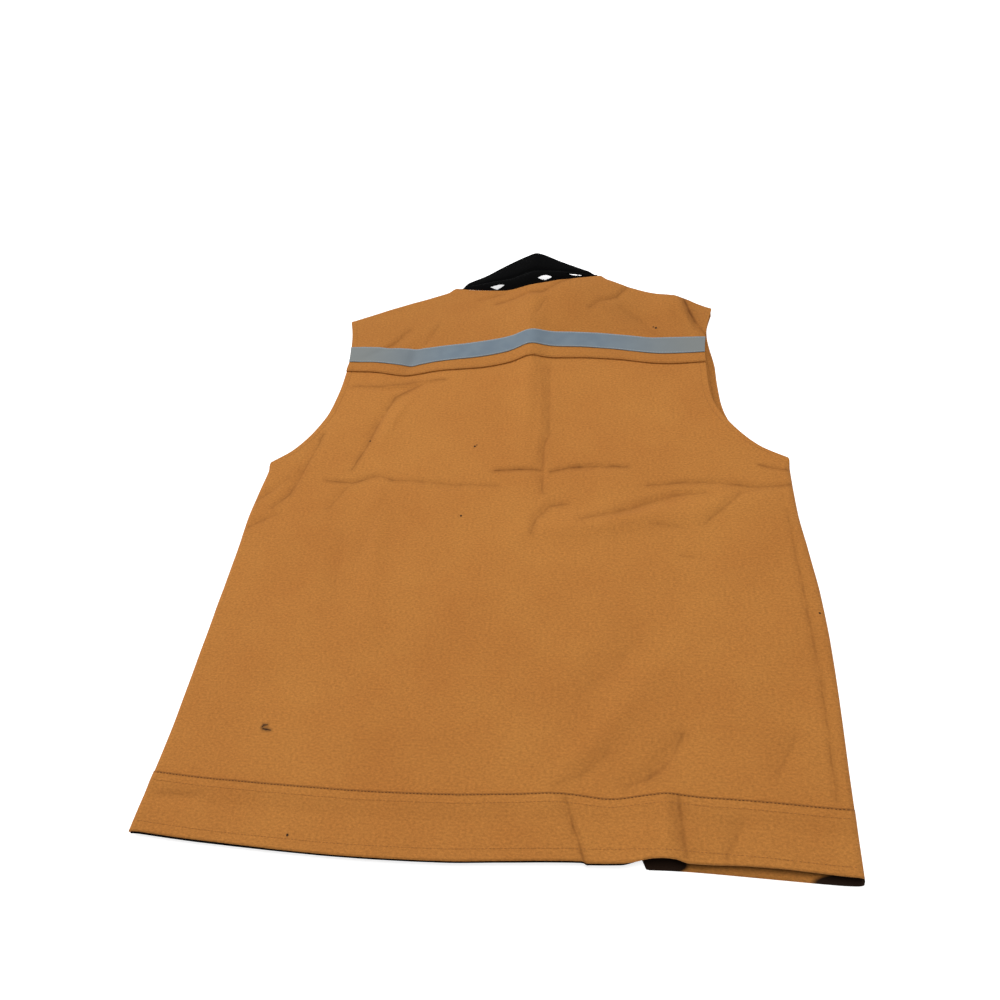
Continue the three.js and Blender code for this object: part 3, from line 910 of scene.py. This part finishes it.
def ranged(tree, value, **limits):
    """Where a value lies between two limits, moved between two others."""
    return node(tree, "MapRange", Value=value, **limits).outputs["Result"]


def noise(tree, place, **settings):
    return node(tree, "TexNoise", Vector=place, **settings)


def blend_colour(tree, factor, a, b, blend="MIX"):
    made = node(tree, "Mix", data_type="RGBA", blend_type=blend)
    for socket, value in ((made.inputs[0], factor), (made.inputs[6], a), (made.inputs[7], b)):
        put(tree, socket, value)
    return made.outputs[2]


def new_group(name, inputs, outputs):
    """An empty group whose first input is the place on the cloth."""
    group = bpy.data.node_groups.new(name, "ShaderNodeTree")
    for label, kind, value in [("Place", "Vector", None), *inputs]:
        socket = group.interface.new_socket(label, in_out="INPUT", socket_type="NodeSocket" + kind)
        if value is not None:
            socket.default_value = value
    for label in outputs:
        group.interface.new_socket(label, in_out="OUTPUT", socket_type="NodeSocketFloat")
    start = group.nodes.new("NodeGroupInput")
    end = group.nodes.new("NodeGroupOutput")
    return group, start.outputs, end.inputs


def plain_weave():
    """Over and under threads in both directions, with uneven slubs."""
    group, given, out = new_group(
        "plain weave",
        [("Thread", "Float", 0.0006), ("Unevenness", "Float", 0.3)],
        ["Height", "Grain", "Tone"],
    )
    stretch = node(group, "Mapping", Vector=given["Place"], Scale=(0.6, 1.0, 1.0))
    slub = noise(group, stretch.outputs[0], Scale=620.0, Detail=3.0, Roughness=0.7).outputs["Fac"]
    apart = node(group, "SeparateXYZ", Vector=given["Place"])
    waver = maths(group, "MULTIPLY", slub, given["Unevenness"])
    turns = []
    for axis in ("X", "Y"):
        count = maths(group, "DIVIDE", apart.outputs[axis], given["Thread"])
        half_turns = maths(group, "MULTIPLY", maths(group, "ADD", count, waver), math.pi)
        turns.append(maths(group, "SINE", half_turns))
    over = maths(group, "GREATER_THAN", maths(group, "MULTIPLY", *turns), 0.0)
    under = maths(group, "SUBTRACT", 1.0, over)
    warp = maths(group, "MULTIPLY", maths(group, "ABSOLUTE", turns[0]), over)
    weft = maths(group, "MULTIPLY", maths(group, "ABSOLUTE", turns[1]), under)
    tone = noise(group, given["Place"], Scale=7.0, Detail=8.0, Roughness=0.68)
    put(group, out["Height"], maths(group, "ADD", warp, weft))
    put(group, out["Grain"], slub)
    put(group, out["Tone"], tone.outputs["Fac"])
    return group


def speck():
    """A ragged dark spot round one place."""
    group, given, out = new_group(
        "speck", [("Centre", "Vector", None), ("Radius", "Float", 0.001)], ["Mask"]
    )
    away = vector_maths(group, "DISTANCE", given["Place"], given["Centre"])
    ragged = noise(group, given["Place"], Scale=1500.0, Detail=2.0).outputs["Fac"]
    reach = maths(group, "MULTIPLY", given["Radius"], maths(group, "ADD", ragged, 0.5))
    share = maths(group, "DIVIDE", away, reach)
    put(group, out["Mask"], ranged(group, share, From_Min=1.0, From_Max=0.6))
    return group


def ellipse():
    """A patch with a soft oval edge."""
    group, given, out = new_group(
        "ellipse",
        [
            ("Centre", "Vector", None),
            ("Half Width", "Float", 0.01),
            ("Half Height", "Float", 0.01),
        ],
        ["Mask"],
    )
    away = vector_maths(group, "SUBTRACT", given["Place"], given["Centre"])
    apart = node(group, "SeparateXYZ", Vector=away)
    squares = []
    for axis, half in (("X", "Half Width"), ("Y", "Half Height")):
        share = maths(group, "DIVIDE", apart.outputs[axis], given[half])
        squares.append(maths(group, "MULTIPLY", share, share))
    total = maths(group, "ADD", *squares)
    put(group, out["Mask"], ranged(group, total, From_Min=1.1, From_Max=0.85))
    return group


def pressed_line():
    """A soft dark line from one place to another, used both for painted shade along a crease and
    for the strokes of a snag.
    """
    group, given, out = new_group(
        "pressed line",
        [
            ("Start", "Vector", None),
            ("End", "Vector", None),
            ("Width", "Float", 0.002),
            ("Depth", "Float", 0.5),
        ],
        ["Mask"],
    )
    run = vector_maths(group, "SUBTRACT", given["End"], given["Start"])
    away = vector_maths(group, "SUBTRACT", given["Place"], given["Start"])
    share = node(group, "Math", operation="DIVIDE", use_clamp=True)
    put(group, share.inputs[0], vector_maths(group, "DOT_PRODUCT", away, run))
    put(group, share.inputs[1], vector_maths(group, "DOT_PRODUCT", run, run))
    along = vector_maths(group, "SCALE", run, share.outputs[0])
    nearest = vector_maths(group, "ADD", given["Start"], along)
    away = vector_maths(group, "DISTANCE", given["Place"], nearest)
    reach = maths(group, "DIVIDE", away, given["Width"])
    core, halo = (
        ranged(group, reach, From_Min=far, From_Max=near, To_Max=most,
               interpolation_type="SMOOTHSTEP")
        for far, near, most in ((1.0, 0.1, 0.6), (4.0, 0.2, 0.4))
    )
    both = maths(group, "ADD", core, halo)
    put(group, out["Mask"], maths(group, "MULTIPLY", both, given["Depth"]))
    return group


weave_group = plain_weave()
speck_group = speck()
line_group = pressed_line()
ellipse_group = ellipse()


def use_group(tree, group, **settings):
    return node(tree, "Group", node_tree=group, **settings)


def new_material(name, roughness, specular=0.12, sheen=0.0, on_cloth=True):
    """A material with a principled shader, and the place that its patterns read: the
    cloth's own flat place, or else the object's."""
    material = bpy.data.materials.new(name)
    material.use_nodes = True
    tree = material.node_tree
    shader = tree.nodes["Principled BSDF"]
    shader.inputs["Roughness"].default_value = roughness
    shader.inputs["Specular IOR Level"].default_value = specular
    if sheen:
        shader.inputs["Sheen Weight"].default_value = sheen
        shader.inputs["Sheen Roughness"].default_value = 0.6
        shader.inputs["Sheen Tint"].default_value = (0.9, 0.6, 0.35, 1)
    if on_cloth:
        return material, tree, shader, node(tree, "UVMap", uv_map="cloth").outputs[0]
    return material, tree, shader, node(tree, "TexCoord").outputs["Object"]


def add_bump(tree, shader, height, distance, strength=1.0):
    bump = node(tree, "Bump", Distance=distance, Strength=strength, Height=height)
    put(tree, shader.inputs["Normal"], bump.outputs[0])


# The snag on the lower left, as strokes on the plan, in millimetres
snag = (
    # start, end, width
    ((-194.8, 94.2), (-198.4, 93.8), 0.75),
    ((-198.4, 93.8), (-199.2, 92.0), 0.75),
    ((-198.0, 90.4), (-194.4, 90.0), 1.1),
    ((-194.4, 90.0), (-190.6, 89.4), 0.7),
)

# Dark specks, in millimetres on the plan
marks = (
    # x, y, radius
    (-44, 324, 1.5),
    (-164, 431, 1.3),
    (-40, 420, 1.6),
    (-38, 422, 1.0),
    (164, 604, 1.9),
    (161, 606, 1.2),
    (-152, 3, 1.4),
    (298, 219, 1.3),
)

# Painted shade of the hollow under the back's hem, on the right front's hem, in millimetres on the
# plan
hem_hollow_shade_places = (
    # x, y, half width, half height
    (145, 2.6, 27, 8),
    (304, -4, 42, 9),
)

duck_light = (0.440, 0.180, 0.039, 1)
duck_deep = (0.400, 0.152, 0.032, 1)
# The colour of painted shade in the creases and in the hem seam's groove.
crease_shade_colour = (0.135, 0.043, 0.0085, 1)
mark_colour = (0.02, 0.012, 0.008, 1)
# The near-black colour of the painted shade in the hollow under the back's hem.
hem_hollow_shade_black = (0.014, 0.006, 0.003, 1)
duck_thread = 0.62 * MM
line_wander = 4.5 * MM

# How wide a line of painted crease shade is at its ends and along its way, as a share of its
# crease.
line_end_share = 0.62
line_way_share = 0.8


def plan_place(x, y):
    """A place on the plan, in millimetres, as the cloth's UV map has it."""
    return (x * MM + middle_x, y * MM + hem_y, 0)


def add_crease_shade(tree, place, colour, low, high):
    """Paints shade along the creases whose middle lies between two heights on the plan."""
    wander = noise(tree, place, Scale=48.0, Detail=3.0)
    centred = vector_maths(tree, "SUBTRACT", wander.outputs["Color"], (0.5, 0.5, 0.5))
    moved = vector_maths(tree, "ADD", place, vector_maths(tree, "SCALE", centred, line_wander))
    total = None
    for _, way, _, near, _, dark in creases:
        middle = sum(y for _, y in way) / len(way) * MM
        if not dark or not low <= middle < high:
            continue
        for i, (start, end) in enumerate(zip(way[:-1], way[1:])):
            at_end = i == 0 or i == len(way) - 2
            width = near * MM * (line_end_share if at_end else line_way_share)
            mask = use_group(
                tree, line_group, Place=moved, Width=width, Depth=dark,
                Start=plan_place(*start), End=plan_place(*end),
            ).outputs["Mask"]
            total = mask if total is None else maths(tree, "MAXIMUM", total, mask)
    patchy = ranged(
        tree, wander.outputs["Fac"], From_Min=0.35, From_Max=0.6, To_Min=0.45, To_Max=1.15
    )
    return blend_colour(tree, maths(tree, "MULTIPLY", total, patchy), colour, crease_shade_colour)


def add_marks(tree, place, colour, low, high):
    """Puts the snag and the dark specks between two heights of the plan on the cloth."""
    masks = [
        use_group(
            tree, line_group, Place=place, Width=width * MM, Depth=1.0,
            Start=plan_place(*start), End=plan_place(*end),
        )
        for start, end, width in snag
        if low <= start[1] * MM < high
    ]
    masks += [
        use_group(
            tree, speck_group, Place=place, Radius=radius * MM, Centre=plan_place(x, y)
        )
        for x, y, radius in marks
        if low <= y * MM < high
    ]
    for mask in masks:
        colour = blend_colour(tree, mask.outputs["Mask"], colour, mark_colour)
    return colour


def add_hem_hollow_shade(tree, place, colour):
    """Painted shade of the hollow under the back's hem: near-black patches on the right front's
    hem.
    """
    for x, y, half_wide, half_high in hem_hollow_shade_places:
        spot = use_group(
            tree, ellipse_group, Place=place, Centre=plan_place(x, y),
            Half_Width=half_wide * MM, Half_Height=half_high * MM,
        )
        colour = blend_colour(tree, spot.outputs["Mask"], colour, hem_hollow_shade_black)
    return colour


def duck_material(name, low=None, high=None, hem_hollow_shade=False, seam=0.0, painted_shade_factor=1.0):
    """Cotton duck, with painted shade along the creases and dark specks between two heights
    of the plan. It can add painted shade where the front's hem runs under the back's hem,
    paint shade into the groove along the last row, and darken the whole cloth as painted shade."""
    material, tree, shader, place = new_material(name, 0.92, sheen=0.06)
    weave = use_group(tree, weave_group, Place=place, Thread=duck_thread, Unevenness=0.5).outputs
    tone = ranged(tree, weave["Tone"], From_Min=0.36, From_Max=0.66)
    deep, light = (
        tuple(channel * painted_shade_factor for channel in c[:3]) + (1,) for c in (duck_deep, duck_light)
    )
    colour = blend_colour(tree, tone, deep, light)
    grain = ranged(tree, weave["Grain"], From_Min=0.3, From_Max=0.7, To_Min=0.78, To_Max=1.22)
    ground = ranged(tree, weave["Height"], To_Min=0.86, To_Max=1.06)
    shade = maths(tree, "MULTIPLY", grain, ground)
    grey = node(tree, "CombineColor", Red=shade, Green=shade, Blue=shade)
    colour = blend_colour(tree, 1.0, colour, grey.outputs[0], "MULTIPLY")
    if high:
        colour = add_crease_shade(tree, place, colour, low, high)
        colour = add_marks(tree, place, colour, low, high)
    if hem_hollow_shade:
        colour = add_hem_hollow_shade(tree, place, colour)
    # Painted shade in the groove along the last row, where the hem band meets the back.
    if seam:
        row = node(tree, "Attribute", attribute_name="row").outputs["Fac"]
        seam_groove_shade = ranged(tree, row, From_Min=0.955, From_Max=0.985, To_Max=seam)
        colour = blend_colour(tree, seam_groove_shade, colour, crease_shade_colour)
    put(tree, shader.inputs["Base Color"], colour)
    height = maths(tree, "ADD", weave["Height"], weave["Grain"])
    add_bump(tree, shader, height, 0.12 * MM, 0.7)
    return material


tape_colour = (0.150, 0.190, 0.225, 1)
tape_end_reflection = (0.182, 0.195, 0.192, 1)
tape_edge = (0.23, 0.265, 0.29, 1)
tape_dark = (0.132, 0.170, 0.208, 1)


def tape_material():
    """Grey-blue reflective tape: fine glass beads, paler along both long edges, and greyer towards
    both ends as painted reflection.
    """
    material, tree, shader, place = new_material("reflective tape", 0.5)
    beads = node(tree, "TexVoronoi", Vector=place, Scale=2600.0).outputs["Distance"]
    cloudy = noise(tree, place, Scale=60.0, Detail=4.0).outputs["Fac"]
    soft = ranged(tree, cloudy, From_Min=0.35, From_Max=0.65)
    colour = blend_colour(tree, soft, tape_dark, tape_colour)
    # Painted reflection: the tape turns greyer towards both ends.
    across = node(tree, "SeparateXYZ", Vector=place).outputs["X"]
    end = ranged(tree, maths(tree, "ABSOLUTE", across), From_Min=0.09, From_Max=0.2)
    colour = blend_colour(tree, end, colour, tape_end_reflection)
    row = node(tree, "Attribute", attribute_name="row").outputs["Fac"]
    from_middle = maths(tree, "ABSOLUTE", maths(tree, "SUBTRACT", row, 0.5))
    rim = ranged(tree, from_middle, From_Min=0.42, From_Max=0.465)
    colour = blend_colour(tree, rim, colour, tape_edge)
    put(tree, shader.inputs["Base Color"], colour)
    glint = ranged(tree, beads, From_Max=0.6, To_Min=0.55, To_Max=0.75)
    put(tree, shader.inputs["Roughness"], glint)
    add_bump(tree, shader, beads, 0.04 * MM, 0.5)
    return material


def black_material(name, light, dark, rib):
    """Black cloth with fine ribs across, as on the collar and the facings."""
    material, tree, shader, place = new_material(name, 0.95, specular=0.04)
    weave = use_group(tree, weave_group, Place=place, Thread=rib, Unevenness=0.6).outputs
    factor = maths(tree, "MULTIPLY", weave["Height"], weave["Grain"])
    put(tree, shader.inputs["Base Color"], blend_colour(tree, factor, dark, light))
    add_bump(tree, shader, weave["Height"], 0.15 * MM, 0.8)
    return material


def zip_material():
    """Black zip tape under its cloth placket, woven in fine ribs."""
    material, tree, shader, place = new_material("zip tape", 0.8, specular=0.2, on_cloth=False)
    weave = use_group(tree, weave_group, Place=place, Thread=0.5 * MM, Unevenness=0.3)
    height = weave.outputs["Height"]
    colour = blend_colour(tree, height, (0.006, 0.006, 0.006, 1), (0.02, 0.02, 0.021, 1))
    put(tree, shader.inputs["Base Color"], colour)
    add_bump(tree, shader, height, 0.1 * MM, 0.6)
    return material


def thread_material(name, colour, pale):
    """Twisted sewing thread."""
    material, tree, shader, place = new_material(name, 0.7, specular=0.1, on_cloth=False)
    twist = noise(tree, place, Scale=900.0, Detail=2.0).outputs["Fac"]
    put(tree, shader.inputs["Base Color"], blend_colour(tree, twist, colour, pale))
    add_bump(tree, shader, twist, 0.05 * MM)
    return material


def floor_material():
    """A pale floor, lit a little from within so that it stays white beside the vest."""
    material, tree, shader, place = new_material("floor", 0.9, specular=0.1, on_cloth=False)
    faint = noise(tree, place, Scale=3.0).outputs["Fac"]
    colour = blend_colour(tree, faint, (0.64, 0.64, 0.64, 1), (0.66, 0.66, 0.66, 1))
    put(tree, shader.inputs["Base Color"], colour)
    shader.inputs["Emission Color"].default_value = (1, 1, 1, 1)
    shader.inputs["Emission Strength"].default_value = 0.75
    return material


duck_front = duck_material("duck canvas")
duck_front_hem = duck_material("duck canvas front hem", hem_hollow_shade=True)
duck_hem = duck_material("duck canvas hem", -0.02, hem_band_height, seam=0.5)
duck_back = duck_material("duck canvas back", hem_band_height, yoke_seam_height)
# The yoke is a darker copy of the same cloth: painted shade.
duck_yoke = duck_material("duck canvas yoke", yoke_seam_height, 1.0, painted_shade_factor=0.93)
tape = tape_material()
collar_black = black_material(
    "collar cloth", (0.004, 0.0042, 0.0046, 1), (0.0012, 0.0012, 0.0012, 1), 1.1 * MM
)
trim_black = black_material(
    "black trim", (0.011, 0.009, 0.008, 1), (0.003, 0.003, 0.003, 1), 0.5 * MM
)
thread_tan = thread_material("tan thread", (0.17, 0.06, 0.014, 1), (0.42, 0.18, 0.05, 1))
thread_dark = thread_material("brown thread", (0.03, 0.011, 0.004, 1), (0.08, 0.03, 0.01, 1))
thread_pale = thread_material("pale thread", (0.26, 0.29, 0.31, 1), (0.42, 0.45, 0.47, 1))


# The pieces
def make_fronts():
    side_reach = hem_width / 2 + 0.03
    for side, name in ((-1, "left"), (1, "right")):
        cloth_piece(
            f"canvas_front_{name}", grid_sheet(90, 190, front_surface(side)), duck_front,
            "duck_canvas", (side_reach, shoulder_height + 0.05), (), f"front_panel_{name}",
        )
        cloth_piece(
            f"canvas_front_hem_{name}", grid_sheet(120, 20, front_hem_surface(side)),
            duck_front_hem, "duck_canvas", (side_reach, hem_band_height + 0.006), (),
            f"front_hem_band_{name}",
        )
        cloth_piece(
            f"collar_end_{name}", grid_sheet(36, 16, collar_end_surface(side)), collar_black,
            "collar_cloth", (0.115, 0.045), (), f"collar_front_{name}",
        )


def make_back():
    front_names = [
        f"canvas_front{part}_{side}" for side in ("left", "right") for part in ("", "_hem")
    ]
    cloth_piece(
        "canvas_back", grid_sheet(214, 180, back_surface), duck_back,
        "duck_canvas", (0.62, 0.54), front_names, "back_panel",
    )
    cloth_piece(
        "canvas_hem", grid_sheet(280, 24, hem_surface), duck_hem,
        "duck_canvas", (0.63, 0.06), ["canvas_back"], "back_hem_band",
    )
    cloth_piece(
        "facing_strip", grid_sheet(260, 10, facing_surface), trim_black,
        "black_trim", (0.56, 0.025), ["canvas_hem"], "hem_facing",
    )
    cloth_piece(
        "canvas_yoke", grid_sheet(220, 76, yoke_surface), duck_yoke,
        "duck_canvas", (0.49, 0.17), ["canvas_back"], "back_yoke",
    )
    cloth_piece(
        "tape_strip", grid_sheet(230, 14, tape_surface), tape,
        "reflective_tape", (0.46, 0.028), ["canvas_yoke"], "reflective_tape",
    )


def make_collar():
    band = grid_sheet(260, 30, stand_surface)
    cut_slits(band)
    cloth_piece(
        "collar_band", band, collar_black,
        "collar_cloth", (0.2, 0.03), ["canvas_yoke"], "collar_stand",
    )
    cloth_piece(
        "collar_fall", grid_sheet(120, 34, leaf_surface), collar_black,
        "collar_cloth", (0.2, 0.06), ["collar_band"], "collar_leaf",
    )


def make_threads():
    dark, tan, pale = bmesh.new(), bmesh.new(), bmesh.new()
    seam = row_across(hem_band_height - 1.2 * MM, flat_part, lap_lift)
    thread_row(dark, lifted(seam), seam_stitch)
    as_piece("stitches_dark", dark, thread_dark, "duck_canvas")
    for y, raised in ((hem_band_height - 7.5 * MM, lap_lift), (8.5 * MM, 0.0)):
        thread_row(tan, lifted(row_across(y, flat_part, raised)), hem_stitch)
    yoke_line = row_across(yoke_seam_height + 2 * MM, 1, lap_lift)
    thread_row(tan, lifted(yoke_line), yoke_stitch)
    for side in (-1, 1):
        thread_row(tan, armhole_row(side), yoke_stitch)
    for inset in (2 * MM, armhole_inset):
        thread_row(tan, front_armhole_row(inset), front_stitch)
    as_piece("stitches_tan", tan, thread_tan, "duck_canvas")
    for y in (tape_low + 1.2 * MM, tape_high - 1.2 * MM):
        line = row_across(y, 1, 0.0)
        thread_row(pale, lifted(line, gap + tape_wall + thread_lift / 2), tape_stitch)
    as_piece("stitches_tape", pale, thread_pale, "reflective_tape")


def finish_zip():
    zip_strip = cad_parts["front_zip"]
    for place in zip_strip.material_slots:
        place.material = zip_material()


# The camera and the light
photo_pixels = 1000
focal_pixels = 773.7
camera_place = Vector((119.7 * MM + middle_x, -131.7 * MM + hem_y, 661.9 * MM))
camera_turn = (36.554, 7.123, 5.131)


def make_camera():
    lens = bpy.data.cameras.new("camera")
    lens.sensor_width = 36
    lens.sensor_fit = "HORIZONTAL"
    lens.lens = focal_pixels / photo_pixels * lens.sensor_width
    lens.clip_start = 0.01
    camera = bpy.data.objects.new("camera", lens)
    camera.location = camera_place
    camera.rotation_euler = [math.radians(a) for a in camera_turn]
    bpy.context.collection.objects.link(camera)
    bpy.context.scene.camera = camera


def add_area(name, place, size, watts):
    """A round soft light that points at the vest."""
    light = bpy.data.lights.new(name, "AREA")
    light.shape = "DISK"
    light.size = size
    light.energy = watts
    lamp = bpy.data.objects.new(name, light)
    lamp.location = place
    lamp.rotation_euler = (-Vector(place)).to_track_quat("-Z", "Y").to_euler()
    bpy.context.collection.objects.link(lamp)


def make_light():
    world = bpy.data.worlds.new("room")
    world.use_nodes = True
    background = world.node_tree.nodes["Background"]
    background.inputs["Color"].default_value = (1, 1, 1, 1)
    background.inputs["Strength"].default_value = 0.3
    bpy.context.scene.world = world
    bpy.context.scene.view_settings.view_transform = "Standard"
    add_area("window", (-2.3, 1.5, 2.5), 1.6, 68)
    add_area("ceiling", (0.2, 0.1, 2.4), 1.6, 39)


def make_floor():
    bm = bmesh.new()
    bmesh.ops.create_grid(bm, x_segments=1, y_segments=1, size=8)
    mesh = bpy.data.meshes.new("floor")
    bm.to_mesh(mesh)
    bm.free()
    mesh.materials.append(floor_material())
    floor = bpy.data.objects.new("floor", mesh)
    bpy.context.collection.objects.link(floor)


make_camera()
make_light()
make_floor()
make_fronts()
make_back()
make_collar()
make_threads()
finish_zip()
